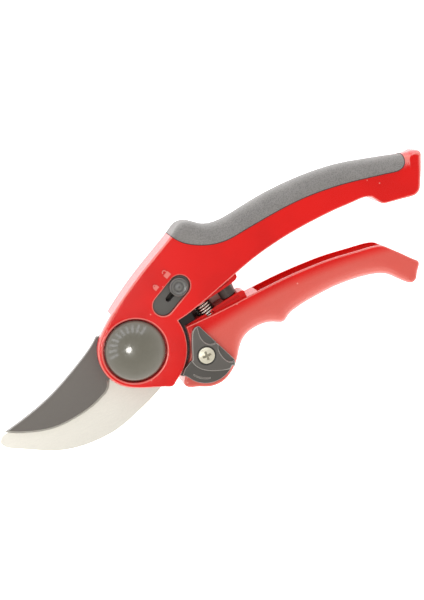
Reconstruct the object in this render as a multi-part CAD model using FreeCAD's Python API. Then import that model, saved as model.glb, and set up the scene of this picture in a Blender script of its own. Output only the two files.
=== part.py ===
"""Bypass pruning shears, closed, lying on their back.

Units are millimetres. The origin is the pivot axis in the plane the shears lie on.
+X runs from the pivot to the ends of the handles, +Y to the upper handle, +Z up out of the face.
The upper handle carries the hook, the pivot and the lock. The lower handle carries the cutting
blade and the opening limiter, and turns clockwise about the pivot to open.
"""
import FreeCAD, Part
import math
import os

# ---------------------------------------------------------------- overall sizes
BODY_T = 16.0          # thickness of the upper handle, face to back
FACE_STEP = 1.4        # how far the lower handle's face lies below the upper one's
HANDLE_ROOT_X = 57.0   # where both handles leave the mechanism
HANDLE_REACH = 87.0    # from there to the end of the upper handle
DRAWN_REACH = 87.0     # the reach that the outlines further down are drawn for
TAIL_X = 108.0         # where the handles' hooked ends start, which keep their shape
OPENING = 32.0         # degrees between closed and fully open
SLIDE_FIT = 0.05       # gap between flat faces that slide on each other
BORE_FIT = 0.03        # radial gap of a shaft, screw or pin in its hole
SEAT_FIT = 0.10        # side gap of a plate in its recess
SCREW_END = 0.5        # room past the end of a screw in its hole
WELD = 0.1             # how far two shapes of one solid run into each other
PAST = 1.0             # how far a cutter runs past what it cuts
FAR = 60.0             # further out than any part of the head or the grip

# ---------------------------------------------------------------- head and pivot
HEAD_R = 15.5          # round nose of the head
HEAD_ARC_R = 21.7      # rear edge of the head, concentric with the pivot
HEAD_GAP = 1.55        # from there to the front edge of the lower handle
RECESS_R = 13.2
RECESS_DEPTH = 2.6
RIM_ROUND = 0.8
NOSE_ROUND = 1.3         # leaves a narrow flat between the nose and the rim of the recess
CAP_GAP = 0.45         # between the cap and the side of the recess
CAP_RISE = 3.8         # crown of the cap above the face
CAP_SKIRT = 1.2
CAP_WALL = 1.4
BOLT_R = 4.0
BOLT_HEAD_AF = 13.0
BOLT_HEAD_H = 2.4
BUSH_WALL = 1.5
WASHER_R = 12.0
WASHER_T = 0.5
SPRING_WASHER_T = 0.6
SPRING_WASHER_R = 7.0
SPRING_WASHER_CONE = 0.2
SPRING_WASHER_GAP = 0.2
NUT_R = 8.5
NUT_T = 2.4
NUT_TEETH = 20
NUT_NOTCH_R = 0.9
NUT_WALL = 1.6         # between the nut's bore and the groove in its back
NUT_GROOVE_W = 1.0
NUT_GROOVE_DEPTH = 0.5
SEGMENT_ANGLE = 45.0   # where the locking segment stands, from +X
SEGMENT_REACH = 6.1    # from the nut's rim to the segment's screw
SEGMENT_T = 2.0
SEGMENT_SPREAD = 2.6   # its round ends stand this far each side of the screw
SEGMENT_END_R = 3.2
SEGMENT_GAP = 0.6      # between the segment and the nut beside the tooth
TOOTH_FIT = 0.15       # round the tooth in its notch

# ---------------------------------------------------------------- jaws
HOOK_Z0 = 3.6
HOOK_T = 4.0
BLADE_T = 3.2
BEVEL_W = 1.4          # ground bevel along the cutting edge
BEVEL_OVERRUN = 0.4    # how far the grinding runs past the bevel's two lines
BEVEL_LAND = 0.25      # thickness left at the edge itself
TIP_OVERRUN = 2.0      # how far it runs on past the tip
EYE_R = 13.5           # the blade round its pivot hole
EYE_SPINE = 128.0      # where the spine leaves the eye's rim, from +X
EYE_TANG = -75.0       # where the tang does
EYE_HEEL = -146.0      # where the heel of the cutting edge does
TRACK_R = 10.6         # relieved part of the eye that the lock tongue looks into
TRACK_PAST = 58.0      # where the relief ends when fully open, ahead of the tongue
EYE_GAP = 0.8          # between the eye and the head round it
ROOM_START = 131.0     # first side of the blade's room with the blade closed
ROOM_END = 372.0       # its last side, past the blade's tang when closed
ROOM_SIDES = 6         # straight sides round the room

# ---------------------------------------------------------------- lock
LOCK_REAR = (27.9, 16.8)     # centre of the window's rear end
LOCK_FRONT = (18.4, 12.2)    # centre of its front end
WINDOW_R = 4.4
WINDOW_FLARE = 0.45
BUTTON_GAP = 0.5       # between the button and the window's side
BUTTON_EDGE = 0.4
BUTTON_RING = 0.9      # width of the ring round the button's dish
DISH_R = 2.2
DISH_DEPTH = 0.45
PIP_R = 1.5            # pip in the middle of the dish
PIP_RISE = 0.8
BUTTON_INSET = 0.7     # the button's centre ahead of the window's rear centre
BUTTON_RISE = 0.7      # above the face
PLATE_LIP = 0.7        # flange of the lock plate past the window, behind the face
PLATE_BELOW_FACE = 1.1
PLATE_FOOT = 0.2       # gap between the plate and the tongue
STEM_R = 1.0
FACE_SKIN = 1.6        # metal left over the flange
LOCK_TRAVEL = 6.5
TONGUE_W = 5.0
TONGUE_TAIL = 2.8      # behind the window's rear centre
TONGUE_ROOM = 0.6      # behind the tongue and above it
TONGUE_ROOM_END = 22.0 # ahead of the window's rear centre, where the room has run into the eye's
TONGUE_GAP = 0.4       # tip of the tongue to the relieved eye when pushed home
TONGUE_SCREW_R = 0.55
TONGUE_HEAD_R = 1.4
TONGUE_HEAD_H = 0.9
LEAF_T = 0.35
LEAF_L = 10.0
LEAF_SET = 0.3         # narrower than the tongue is thick, each side

# ---------------------------------------------------------------- limiter
LIMIT_AT = (25.9, -14.4)
LEVER_T = 2.4
LEVER_SINK = 0.45      # fan of the lever below its hub
LEVER_CHAMFER = 0.4
LEVER_MARK_R = 9.5     # engraved arc on the fan
LEVER_MARK_W = 0.35
LEVER_MARK_SPAN = (212, 255)
SCOOP_DEPTH = 1.5      # at the lever's long side
SCOOP_TILT = 16.0      # degrees that a scoop's floor falls outwards
LIMIT_SEAT = 1.0       # metal of the lever left under the screw's head
HEAD_ROOM = 0.35       # gap round the screw's head
LIMIT_SCREW_R = 2.4
LIMIT_HEAD_R = 3.4
LIMIT_HEAD_H = 1.9
PAN_CROWN = 0.5        # crown of its rounded head
LIMIT_SCREW_Z0 = 3.0
LIMIT_WASHER_T = 0.3
LIMIT_WASHER_R = 5.4

# ---------------------------------------------------------------- return spring and bumper
SPRING_AT = (33.9, 3.1)      # middle of the spring
SPRING_R = 3.15              # to the middle of the wire
WIRE_R = 0.55
SPRING_TURNS = 10
SPRING_LEN = 13.4            # closed
SPRING_END_GAP = 0.1         # from each end of the spring to the floor of its pocket
POCKET_CLEAR = 0.45
PEG_R = 1.9
PEG_L = 3.0
RIB_TILT = 8.5               # the ribs and what stands on them lean this much
BUMPER_AT = (45.6, 2.3)
BUMPER_R = 3.4
BUMPER_L = 4.3
BUMPER_STEM_R = 1.6
BUMPER_STEM_L = 3.5
BUMPER_SEAT = 0.35           # base of the bumper above the point it leans about, just clear of the rib
BUMPER_LAP = 0.1             # how far the stem runs into the bumper
RIB_Z0 = 3.0
RIB_TOP_BELOW_FACE = 2.6
GROOVE_R = 0.5               # groove in a rib's upper side
SHELF_T = 2.6                # web at the back of the gap, behind the spring
SHELF_GAP = 0.55             # between the web and the upper handle
SHELF_END_X = 49.5

# ---------------------------------------------------------------- screws
HOOK_SCREW_R = 2.1
HOOK_SCREW_BITE = 4.4        # past the hook, into the handle
HOOK_HEAD_R = 3.8
HOOK_HEAD_H = 2.6
BLADE_SCREW_R = 2.0
BLADE_SCREW_BITE = 0.75
BLADE_HEAD_R = 3.6
HEAD_LAND = 0.3              # straight edge of a flat head
SCREW_SINK = 0.15            # flat-head screws below the back
SEGMENT_SCREW_R = 1.6
SEGMENT_HEAD_R = 2.8
SEGMENT_HEAD_H = 1.3
SEGMENT_SLOT = 0.35          # half the width of the slot in its head
DRIVE_R = 1.9                # cross recess
DRIVE_SLOT = 0.5             # half the width of one of its arms
DRIVE_DEPTH = 1.15

# ---------------------------------------------------------------- handles
WALL = 1.6
GRIP_SKIN = 2.0
MARK_H = 0.45          # raised padlock marks
MARK_ROOT = 0.2        # how far they reach into the face
MARK_ASPECT = 0.75     # body of a mark, height to width
MARK_BOW = 0.36        # shackle's radius to the body's width
MARK_LIFT = 0.26       # lifted shackle above the body, to the body's width
MARK_BOW_W = 0.4
MARK_TILT = 25.0
RIM_SPAN = 5           # outline points to one face of a rounded rim
RIM_WINDOW = 1.6       # how far along the rim an inset is smoothed, in insets

# levels that follow
LOWER_T = BODY_T - FACE_STEP
HOOK_Z1 = HOOK_Z0 + HOOK_T
BLADE_Z0 = HOOK_Z1 + SLIDE_FIT
BLADE_Z1 = BLADE_Z0 + BLADE_T
WASHER_Z0 = BLADE_Z1 + SLIDE_FIT
CHEEK_Z0 = WASHER_Z0 + WASHER_T + SLIDE_FIT
RECESS_Z = BODY_T - RECESS_DEPTH
PLATE_Z1 = BODY_T - PLATE_BELOW_FACE
TONGUE_Z0 = BLADE_Z0 + SLIDE_FIT
TONGUE_Z1 = BLADE_Z1 - 2 * SLIDE_FIT
MID_Z = BODY_T / 2     # height of the spring and the bumper
LEVER_Z0 = LOWER_T + LIMIT_WASHER_T + SLIDE_FIT

# widths and angles that follow
CAP_R = RECESS_R - CAP_GAP
BUTTON_R = WINDOW_R - BUTTON_GAP
PLATE_R = WINDOW_R + PLATE_LIP
BUSH_R = BOLT_R + BORE_FIT + BUSH_WALL
EYE_ROOM_R = EYE_R + EYE_GAP
TRACK_START = TRACK_PAST + OPENING
SEGMENT_SCREW_AT = NUT_R + SEGMENT_REACH
ORIGIN = FreeCAD.Vector(0, 0, 0)
UP = FreeCAD.Vector(0, 0, 1)


# ================================================================ drawing helpers
def vec(x, y, z=0.0):
    return FreeCAD.Vector(x, y, z)


def polar(radius, degrees, z=0.0):
    angle = math.radians(degrees)
    return vec(radius * math.cos(angle), radius * math.sin(angle), z)


def reach(x):
    """Stretch what lies between the handle root and the hooked ends, and move the ends with it."""
    longer = HANDLE_REACH - DRAWN_REACH
    share = (x - HANDLE_ROOT_X) / (TAIL_X - HANDLE_ROOT_X)
    return x + longer * min(1.0, max(0.0, share))


def placed(points):
    return [vec(reach(x), y) for x, y in points]


def curve(points):
    spline = Part.BSplineCurve()
    spline.interpolate(points)
    return spline.toShape()


def polyline(points):
    return [Part.LineSegment(a, b).toShape() for a, b in zip(points, points[1:])]


def arc(start, middle, end):
    return Part.Arc(start, middle, end).toShape()


def arc_about(centre, radius, start, end):
    return arc(*[centre + polar(radius, angle) for angle in (start, (start + end) / 2, end)])


def prism(edges, z0, z1):
    face = Part.Face(Part.Wire(Part.__sortEdges__(edges)))
    face.translate(vec(0, 0, z0))
    return face.extrude(vec(0, 0, z1 - z0))


def block(points, z0, z1):
    return prism(polyline(points + points[:1]), z0, z1)


def rectangle(x0, y0, x1, y1):
    return [vec(x0, y0), vec(x1, y0), vec(x1, y1), vec(x0, y1)]


def cylinder(at, radius, z0, z1):
    return Part.makeCylinder(radius, z1 - z0, vec(at[0], at[1], z0), UP)


def ring(at, inner, outer, z0, z1):
    return cylinder(at, outer, z0, z1).cut(cylinder(at, inner, z0 - PAST, z1 + PAST))


def bore(at, radius):
    """Hole right through the body for a shaft of this radius."""
    return cylinder(at, radius + BORE_FIT, -PAST, BODY_T + PAST)


def widened(edges, z0, z1):
    """Room for a plate with this outline."""
    outline = Part.Face(Part.Wire(Part.__sortEdges__(edges))).makeOffset2D(SEAT_FIT)
    outline.translate(vec(0, 0, z0))
    return outline.extrude(vec(0, 0, z1 - z0))


def turned(profile, at=(0, 0)):
    """Solid of revolution about a vertical axis, from (radius, z) points."""
    points = [vec(r, 0, z) for r, z in profile]
    face = Part.Face(Part.Wire(polyline(points + points[:1])))
    solid = face.revolve(ORIGIN, UP, 360)
    solid.translate(vec(at[0], at[1]))
    return solid


def left_of(direction):
    return vec(-direction.y, direction.x)


def stadium(first, second, radius, z0, z1):
    a, b = vec(*first), vec(*second)
    along = (b - a).normalize()
    side = left_of(along) * radius
    edges = [
        Part.LineSegment(a + side, b + side).toShape(),
        arc(b + side, b + along * radius, b - side),
        Part.LineSegment(b - side, a - side).toShape(),
        arc(a - side, a - along * radius, a + side),
    ]
    return prism(edges, z0, z1)


def hexagon(flats, z0, z1):
    corner = flats / math.sqrt(3)
    return block([polar(corner, 60 * k) for k in range(6)], z0, z1)


def merged(solids):
    result = solids[0]
    for solid in solids[1:]:
        result = result.fuse(solid)
    return result.removeSplitter()


# ================================================================ bodies with a rounded rim
def inward_directions(points, insets):
    """Unit vectors into the outline, each averaged along the rim for as far as its inset calls for."""
    steps = [b - a for a, b in zip(points, points[1:])]
    normals = [left_of(step) for step in steps]
    places = [0.0]
    for step in steps:
        places.append(places[-1] + step.Length)
    corner = (normals[0].normalize() + normals[-1].normalize()).normalize() * math.sqrt(2)
    result = [corner]
    for k in range(1, len(points) - 1):
        window = RIM_WINDOW * insets[k]
        total = vec(0, 0)
        for j, step in enumerate(steps):
            middle = (places[j] + places[j + 1]) / 2
            if j in (k - 1, k) or abs(middle - places[k]) < window:
                total = total + normals[j]
        result.append(total.normalize())
    result.append(corner)
    return result


def rim_rows(stations, z0, z1):
    """Seven rows of points: face, rim and wall above, middle, then the same below."""
    edge = [vec(reach(x), y) for x, y, inset, drop in stations]
    inward = inward_directions(edge, [s[2] for s in stations])
    inner = [p + d * s[2] for p, d, s in zip(edge, inward, stations)]
    rows = [
        [vec(p.x, p.y, z1) for p in inner],
        [vec(p.x, p.y, z1) for p in edge],
        [vec(p.x, p.y, z1 - s[3]) for p, s in zip(edge, stations)],
        [vec(p.x, p.y, (z0 + z1) / 2) for p in edge],
        [vec(p.x, p.y, z0 + s[3]) for p, s in zip(edge, stations)],
        [vec(p.x, p.y, z0) for p in edge],
        [vec(p.x, p.y, z0) for p in inner],
    ]
    lengths = [0.0]
    for a, b in zip(edge, edge[1:]):
        lengths.append(lengths[-1] + (b - a).Length)
    return rows, [length / lengths[-1] for length in lengths]


def rim_body(stations, z0, z1):
    """Closed body on an outline whose rim is rounded by each station's inset and drop."""
    rows, parameters = rim_rows(stations, z0, z1)
    curves = []
    for row in rows:
        spline = Part.BSplineCurve()
        spline.interpolate(Points=row, Parameters=parameters)
        curves.append(spline)
    first = curves[0]
    knots = first.getKnots()
    cuts = knots[:-RIM_SPAN // 2:RIM_SPAN] + [1.0]
    spans = list(zip(cuts, cuts[1:]))
    faces = []
    for band in (curves[0:3], curves[2:5], curves[4:7]):
        poles = [list(column) for column in zip(*[c.getPoles() for c in band])]
        side = Part.BSplineSurface()
        side.buildFromPolesMultsKnots(
            poles, first.getMultiplicities(), [3, 3], knots, [0.0, 1.0], False, False, first.Degree, 2)
        for start, end in spans:
            strip = side.copy()
            strip.segment(start, end, 0.0, 1.0)
            faces.append(strip.toShape())
    for lid in (curves[0], curves[-1]):
        faces.append(Part.Face(Part.Wire([lid.toShape(start, end) for start, end in spans])))
    skin = Part.Compound(faces)
    skin.sewShape()
    solid = Part.Solid(skin.Shells[0])
    if solid.Volume < 0:
        solid.reverse()
    return solid


# ================================================================ outlines
# A station of a rounded rim is x, y, how far the rounding reaches inwards, and how far down.
def round_stations(radius, angles, rounding):
    """Stations on a circle about the pivot."""
    points = [polar(radius, angle) for angle in angles]
    return [(p.x, p.y, rounding, rounding) for p in points]


HEAD_NOSE = round_stations(HEAD_R, range(130, 240, 15), NOSE_ROUND)
HEAD_REAR = round_stations(HEAD_ARC_R, (-62.9, -50, -38, -26, -14, -2), 0.8)

UPPER_CORNER = (21.35, 3.9, 0.8, 0.8)
UPPER_INNER = [(25.5, 4.3), (30, 5.3), (36, 6.8), (43, 8.8), (50, 10.8), (57, 12.8), (64, 14.4),
               (72, 15.7), (81, 16.7), (91, 17.2), (101, 17.3), (109, 17.0), (113.6, 16.7)]
UPPER_TAIL = [(116.2, 15.6, 1.0, 1.0), (118.1, 12.9, 1.0, 1.0), (119.5, 11.2, 1.0, 1.0),
              (121.8, 10.4, 1.0, 1.0), (127, 9.4, 1.2, 1.2), (131.5, 8.5, 1.4, 1.4),
              (134.3, 8.3, 1.6, 1.6), (136.5, 9.4, 1.8, 2.0), (138.2, 12.0, 2.0, 2.4),
              (140.9, 17.2, 2.4, 3.2), (143.1, 21.9, 2.8, 4.2), (143.6, 23.8, 3.2, 5.0),
              (142.4, 25.1, 4.0, 5.8), (139, 25.6, 6.0, 6.6)]
UPPER_OUTER = [(132, 27.2), (121.8, 30.2), (111.7, 32.9), (101.6, 34.6), (91.5, 35.4), (81.3, 35.5),
               (71.2, 34.9), (61.1, 33.7), (56, 33.3), (51, 33.7)]
UPPER_HUMP = [(47.2, 35.2, 7.4, 6.8), (44.3, 37.5, 6.4, 6.0), (41.2, 39.4, 5.0, 5.0),
              (37.7, 39.6, 3.6, 3.6), (34.8, 38.0, 2.2, 2.2)]
UPPER_SHOULDER = [(31, 35.8), (25, 32.9), (20, 30.5), (15, 28.0), (10, 25.3), (5, 22.4), (0, 19.3),
                  (-5, 15.9)]
NOSE_BOTTOM = [(-6.4, -14.1, 1.0, 1.0), (0, -17.0, 0.8, 0.8), (5.6, -19.5, 0.8, 0.8), (8.2, -20.3, 0.8, 0.8)]

LOWER_FRONT_R = HEAD_ARC_R + HEAD_GAP
LOWER_CORNER = (LOWER_FRONT_R, -0.4, 0.6, 0.6)
LOWER_FRONT = round_stations(LOWER_FRONT_R, (-12, -24, -36, -46), 0.6)
LOWER_TOE = [(14.3, -19.6, 0.8, 0.8), (12.7, -22.4, 1.0, 1.2), (13.4, -23.8, 1.4, 1.6),
             (17.3, -25.8, 1.8, 2.0), (21.2, -27.7, 1.8, 2.0), (25.3, -28.6, 1.8, 2.0),
             (29.5, -28.0, 1.8, 2.0), (33.2, -26.2, 2.2, 2.6), (36.4, -23.9, 3.0, 3.6),
             (38.9, -21.1, 4.2, 4.8)]
LOWER_OUTER = [(41.2, -18.4, 6.5, 5.6), (43.6, -16.4, 8.4, 6.2), (47, -15.0, 9.6, 6.6),
               (50.6, -14.5, 10, 6.8), (54.2, -14.7, 10, 6.8), (57.3, -15.6, 10, 6.8),
               (59.9, -17.0, 10, 6.8), (61.6, -17.6, 10, 6.8), (63.2, -17.2, 10, 6.8),
               (65.3, -15.9, 9.8, 6.8), (68.6, -14.9, 9.4, 6.8), (73, -14.2, 9.2, 6.8),
               (80, -13.7, 9.0, 6.8), (87, -13.5, 8.8, 6.8), (94, -13.9, 8.6, 6.6),
               (101.4, -15.0, 8.0, 6.4), (107, -16.5, 6.6, 5.8), (110.4, -18.2, 5.0, 5.0)]
LOWER_TAIL = [(113.4, -21.3, 4.0, 4.2), (116.4, -24.6, 3.2, 3.8), (118.4, -25.9, 2.6, 3.4),
              (120.3, -25.5, 2.4, 3.0), (122.4, -22.7, 2.2, 2.8), (124.4, -19.9, 2.0, 2.4),
              (124.6, -18.6, 1.6, 1.8), (123.3, -16.9, 1.2, 1.2), (119.5, -12.6, 1.0, 1.0),
              (115.5, -8.2, 0.9, 0.9), (112.9, -5.6, 0.8, 0.8)]
LOWER_INNER = [(110.3, -4.4), (106, -3.5), (100.3, -2.6), (90.2, -1.0), (80.2, -0.2), (70.2, 0.2),
               (60, 0.1), (50, -0.2), (40, -0.5), (31, -0.5)]

GRIP_EDGE = [(31.5, 41), (33.6, 36.0), (37.0, 31.9), (41, 29.2), (45.5, 27.1), (50, 25.9), (55, 25.5),
             (60, 25.9), (70, 26.8), (80, 27.5), (90, 27.6), (100, 26.8), (110, 25.3), (120, 23.2),
             (128, 21.4)]
CORE_INSIDE = [(35.2, 34.0), (39.5, 28.0), (45, 25.0), (52, 23.6), (60, 24.0), (80, 25.4), (100, 24.8),
               (120, 21.2), (133, 18.8), (138.5, 21.2), (137.4, 23.0)]
GRIP_END = [(131.8, 20.9), (134.6, 22.2), (135.9, 25.0), (137.6, 31.0)]

HOOK_OUTER = [(-66.2, -12.4), (-65.3, -14.2), (-60, -18.0), (-50, -24.0), (-40, -27.8), (-30, -29.1),
              (-20, -28.6), (-10, -25.9), (0, -22.3), (4.6, -20.2)]
HOOK_INNER = [(-12.4, 9.0), (-14.6, 3.5), (-18, -2.5), (-25, -8.0), (-35, -11.3), (-45, -11.9), (-55, -10.6),
              (-61, -9.7), (-64.6, -10.2), (-66.2, -12.4)]
HOOK_TOP = [(-12.4, 9.0), (-6.0, 13.4), (0, 17.0), (8, 21.4), (17, 24.8), (27, 26.8), (37, 25.4),
            (43.5, 20.6), (43, 16), (38, 12.9), (30, 11.0), (25.5, 9.0)]
HOOK_TOP_ANGLE = 9.0   # where the plate's rear arc meets the tang
HOOK_SCREWS = [(13, 19.2), (38, 19)]

BLADE_SPINE = [(-12.0, 11.3), (-15, 8.95), (-20, 6.0), (-30, 1.05), (-40, -3.1), (-50, -6.0), (-62.8, -8.5)]
BLADE_EDGE = [(-62.8, -8.5), (-60.2, -10.3), (-55, -12.9), (-50, -14.8), (-45, -16.1), (-40, -16.6),
              (-35, -16.5), (-30, -16.0), (-25, -15.0), (-20, -13.2), (-17, -11.7), (-15.2, -9.6),
              (-14.4, -7.2)]
BLADE_TANG = [(20.9, 2.4), (24, 3.2), (28.2, 3.7), (28.4, -5.6), (36.6, -7.2), (38, -12.5), (33, -19.5),
              (26.5, -23), (18.8, -23.6), (12.6, -18.4), (8, -12.6)]
BLADE_SCREWS = [(20.6, -19.4), (32.4, -10.4)]

LEVER_LEFT = [(26.0, -1.8), (24.6, -2.9), (23.2, -5.4), (21.8, -8.6), (20.6, -11.6), (19.8, -13.6)]
LEVER_TOOTH = [(19.8, -13.6), (18.2, -14.3), (15.3, -15.8), (13.7, -17.6)]
LEVER_FAN_R = 11.8
LEVER_FAN_SPAN = (206, 313)
LEVER_APEX = (27.4, -1.7)
LEVER_RIGHT = [(35.0, -23.9), (36.0, -21.4), (28.6, -3.0)]
LEVER_CONTOUR = [(18.6, -12.6), (19.4, -14.1), (19.9, -15.9), (21.2, -18.1), (23.7, -20.3), (27.3, -22.2),
                 (30.7, -23.4), (34.0, -24.0), (36.5, -24.1)]
PAST_LEVER = [(40, -30), (8, -30), (8, -12.6)]
# finger scoops on the lever's long side, as distances along it from its upper end and depths into it
SCOOPS = [[(-1.5, 0.9), (0.2, 2.0), (3.0, 3.3), (6.0, 3.3), (8.0, 2.1), (8.9, 0.5), (9.1, -0.8)],
          [(10.2, -0.8), (11.4, 1.6), (14.0, 2.6), (17.2, 2.8), (19.2, 1.9), (20.0, 0.6), (20.2, -0.8)]]
SCOOP_OVERRUN = 4.0

UPPER_RIB = [(26, 7.5), (26, 4.5), (30, 4.9), (36, 5.95), (42, 6.75), (48, 7.8), (50.3, 8.4), (51.3, 9.3),
             (51.4, 13)]
LOWER_RIB = [(24.6, -2), (24.6, -0.3), (30, 0.25), (36, 1.05), (42, 2.0), (48, 2.75), (50.6, 3.05),
             (51.8, 2.4), (51.9, -2)]
LOWER_SHELF = [(24.2, -2), (24.2, 3.3)] + [(x, y - SHELF_GAP) for x, y in UPPER_INNER if x < SHELF_END_X]
LOWER_SHELF += [(SHELF_END_X, 9.5), (SHELF_END_X, -2)]
UPPER_GROOVE = [(37.5, 7.5), (47.0, 9.3)]
LOWER_GROOVE = [(36.5, 0.1), (48.5, 1.5)]
UPPER_HOLLOW = [(60, 9.5), (80, 12), (100, 12.5), (112.5, 12.5)]
UPPER_HOLLOW_BACK = [(112.5, 12.5), (112.3, 19.5), (108, 22.4), (90, 23.8), (72, 22.6), (62, 20.2),
                     (58.6, 16.5), (60, 9.5)]
LOWER_HOLLOW = [(56.5, 5), (80, 5), (100, 2), (114.2, -3.5)]
LOWER_HOLLOW_BACK = [(114.2, -3.5), (111.2, -7.2), (104, -8.8), (90, -7.4), (76, -6.6), (66, -6.2),
                     (59.5, -4.2), (56.8, 0), (56.5, 5)]
PADLOCKS = [((19.0, 19.6), 2.1, False), ((25.4, 22.3), 2.6, True)]


# ================================================================ upper handle
def upper_stations():
    inner = [(x, y, 1.0, 1.0) for x, y in UPPER_INNER]
    outer = [(x, y, 8.0, 7.2) for x, y in UPPER_OUTER]
    shoulder = [(x, y, 1.2, 1.2) for x, y in UPPER_SHOULDER]
    return ([UPPER_CORNER] + inner + UPPER_TAIL + outer + UPPER_HUMP + shoulder
            + HEAD_NOSE + NOSE_BOTTOM + HEAD_REAR + [UPPER_CORNER])


def grip_zone():
    """Everything outside the grip's seam line."""
    lower = placed(GRIP_EDGE)
    end = placed(GRIP_END)
    beyond = [vec(end[-1].x, FAR), vec(lower[0].x, FAR)]
    edges = [curve(lower + end)] + polyline([end[-1]] + beyond + [lower[0]])
    return prism(edges, -PAST, BODY_T + PAST)


def grip_core():
    """What the grip is moulded over: the outer side of the handle, drawn in by the skin."""
    drawn = [(x, y, 4.5, 5.0) for x, y in UPPER_OUTER]
    drawn += [(x, y, min(inset, 3.0), min(drop, 4.0)) for x, y, inset, drop in UPPER_HUMP[:-1]]
    drawn = [(x, y - GRIP_SKIN, inset, drop) for x, y, inset, drop in drawn]
    inside = [(x, y, 0.6, 0.6) for x, y in CORE_INSIDE]
    return rim_body(inside + drawn + inside[:1], GRIP_SKIN, BODY_T - GRIP_SKIN)


def spring_frame(solid, at=SPRING_AT):
    """Stand a solid made about the Z axis across the handles, leaning with the ribs."""
    solid.rotate(ORIGIN, vec(1, 0, 0), -90)
    solid.rotate(ORIGIN, UP, RIB_TILT)
    solid.translate(vec(at[0], at[1], MID_Z))
    return solid


def spring_pocket(side):
    """Hole for one end of the spring with a peg left standing in it; side is 1 above, -1 below."""
    half = SPRING_LEN / 2
    hole = Part.makeCylinder(SPRING_R + WIRE_R + POCKET_CLEAR, half, ORIGIN, UP * side)
    peg = Part.makeCylinder(PEG_R, half, UP * (half - PEG_L) * side, UP * side)
    return spring_frame(hole.cut(peg))


def seat_cutter(radius, depth_z):
    """Round recess from the face down, with a rounded mouth."""
    mouth = RIM_ROUND * (1 - math.sqrt(0.5))
    return turned([(0, depth_z), (radius, depth_z), (radius, BODY_T - RIM_ROUND),
                   (radius + mouth, BODY_T - mouth), (radius + RIM_ROUND, BODY_T),
                   (radius + RIM_ROUND, BODY_T + PAST), (0, BODY_T + PAST)])


def window_cutter():
    """Window for the lock, flared at the face."""
    hole = stadium(LOCK_FRONT, LOCK_REAR, WINDOW_R, CHEEK_Z0, BODY_T + PAST)
    lower = stadium_wire(WINDOW_R, BODY_T - WINDOW_FLARE)
    upper = stadium_wire(WINDOW_R + WINDOW_FLARE, BODY_T)
    return hole.fuse(Part.makeLoft([lower, upper], True, True))


def stadium_wire(radius, z):
    """Outline of the lock window at this height."""
    return stadium(LOCK_FRONT, LOCK_REAR, radius, z, z + PAST).Faces[-2].OuterWire


def eye_room():
    """Room under the cheek for the blade's eye, the blade and its tang, closed to fully open."""
    room = cylinder((0, 0), EYE_ROOM_R, HOOK_Z0, CHEEK_Z0)
    start = ROOM_START - OPENING
    side = (ROOM_END - start) / ROOM_SIDES
    sector = [vec(0, 0)] + [polar(FAR, start + side * k) for k in range(ROOM_SIDES + 1)]
    return room.fuse(block(sector, -PAST, CHEEK_Z0))


def lock_room():
    """Pocket for the lock plate and the tongue, open to the eye and closed below by the hook."""
    floor = HOOK_Z1 - PAST / 2
    room = stadium(LOCK_FRONT, LOCK_REAR, PLATE_R + SEAT_FIT, floor, BODY_T - FACE_SKIN)
    run = tongue_block(-TONGUE_TAIL - TONGUE_ROOM, TONGUE_ROOM_END, TONGUE_W + 2 * SEAT_FIT,
                       floor, BLADE_Z1 + TONGUE_ROOM)
    return room.fuse(run)


def hook_edges():
    """The hook plate: jaw, part round the pivot, and the tang let into the upper handle."""
    jaw = curve([vec(x, y) for x, y in HOOK_OUTER])
    anvil = curve([vec(x, y) for x, y in HOOK_INNER])
    radius = math.hypot(*HOOK_OUTER[-1])
    start = math.degrees(math.atan2(HOOK_OUTER[-1][1], HOOK_OUTER[-1][0]))
    top = polyline([vec(x, y) for x, y in HOOK_TOP] + [polar(radius, HOOK_TOP_ANGLE)])
    return [jaw, anvil, arc_about(ORIGIN, radius, start, HOOK_TOP_ANGLE)] + top


def hollow(front, back, thickness):
    """Hollow along the inner side of a handle, between its two walls."""
    return prism([curve(placed(front)), curve(placed(back))], WALL, thickness - WALL)


def padlock_mark(at, size, lifted):
    """Raised padlock: a body, and a shackle that stands clear of it on one side when lifted."""
    x, y = at
    low, high = BODY_T - MARK_ROOT, BODY_T + MARK_H
    top = y + size * MARK_ASPECT
    bow_r = size * MARK_BOW
    bow_y = top + (size * MARK_LIFT if lifted else 0.0)
    body = block(rectangle(x - size / 2, y, x + size / 2, top), low, high)
    bow = ring((x, bow_y), bow_r - MARK_BOW_W, bow_r, low, high)
    bow = bow.common(block(rectangle(x - size, bow_y, x + size, bow_y + size), low, high))
    leg = block(rectangle(x + bow_r - MARK_BOW_W, top - WELD, x + bow_r, bow_y), low, high)
    mark = merged([body, bow, leg])
    mark.rotate(vec(x, y), UP, MARK_TILT)
    return mark


def ribbed(body, points, groove, thickness):
    """Add a handle's inner pad and cut the long groove in the pad's upper side."""
    top = thickness - RIB_TOP_BELOW_FACE
    pad = block([vec(x, y) for x, y in points], RIB_Z0, top)
    return body.fuse(pad).cut(stadium(*groove, GROOVE_R, top - GROOVE_R, top + PAST))


def upper_handle_and_grip():
    full = rim_body(upper_stations(), 0, BODY_T)
    grip = full.common(grip_zone()).cut(grip_core())
    body = ribbed(full.cut(grip), UPPER_RIB, UPPER_GROOVE, BODY_T)
    cutters = [eye_room(), widened(hook_edges(), -PAST, HOOK_Z1), lock_room(), window_cutter(),
               seat_cutter(RECESS_R, RECESS_Z), bore((0, 0), BOLT_R),
               hollow(UPPER_HOLLOW, UPPER_HOLLOW_BACK, BODY_T), spring_pocket(1)]
    end = HOOK_Z1 + HOOK_SCREW_BITE + SCREW_END
    cutters += [cylinder(at, HOOK_SCREW_R + BORE_FIT, -PAST, end) for at in HOOK_SCREWS]
    for cutter in cutters:
        body = body.cut(cutter)
    for at, size, lifted in PADLOCKS:
        body = body.fuse(padlock_mark(at, size, lifted))
    return body, grip


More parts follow.
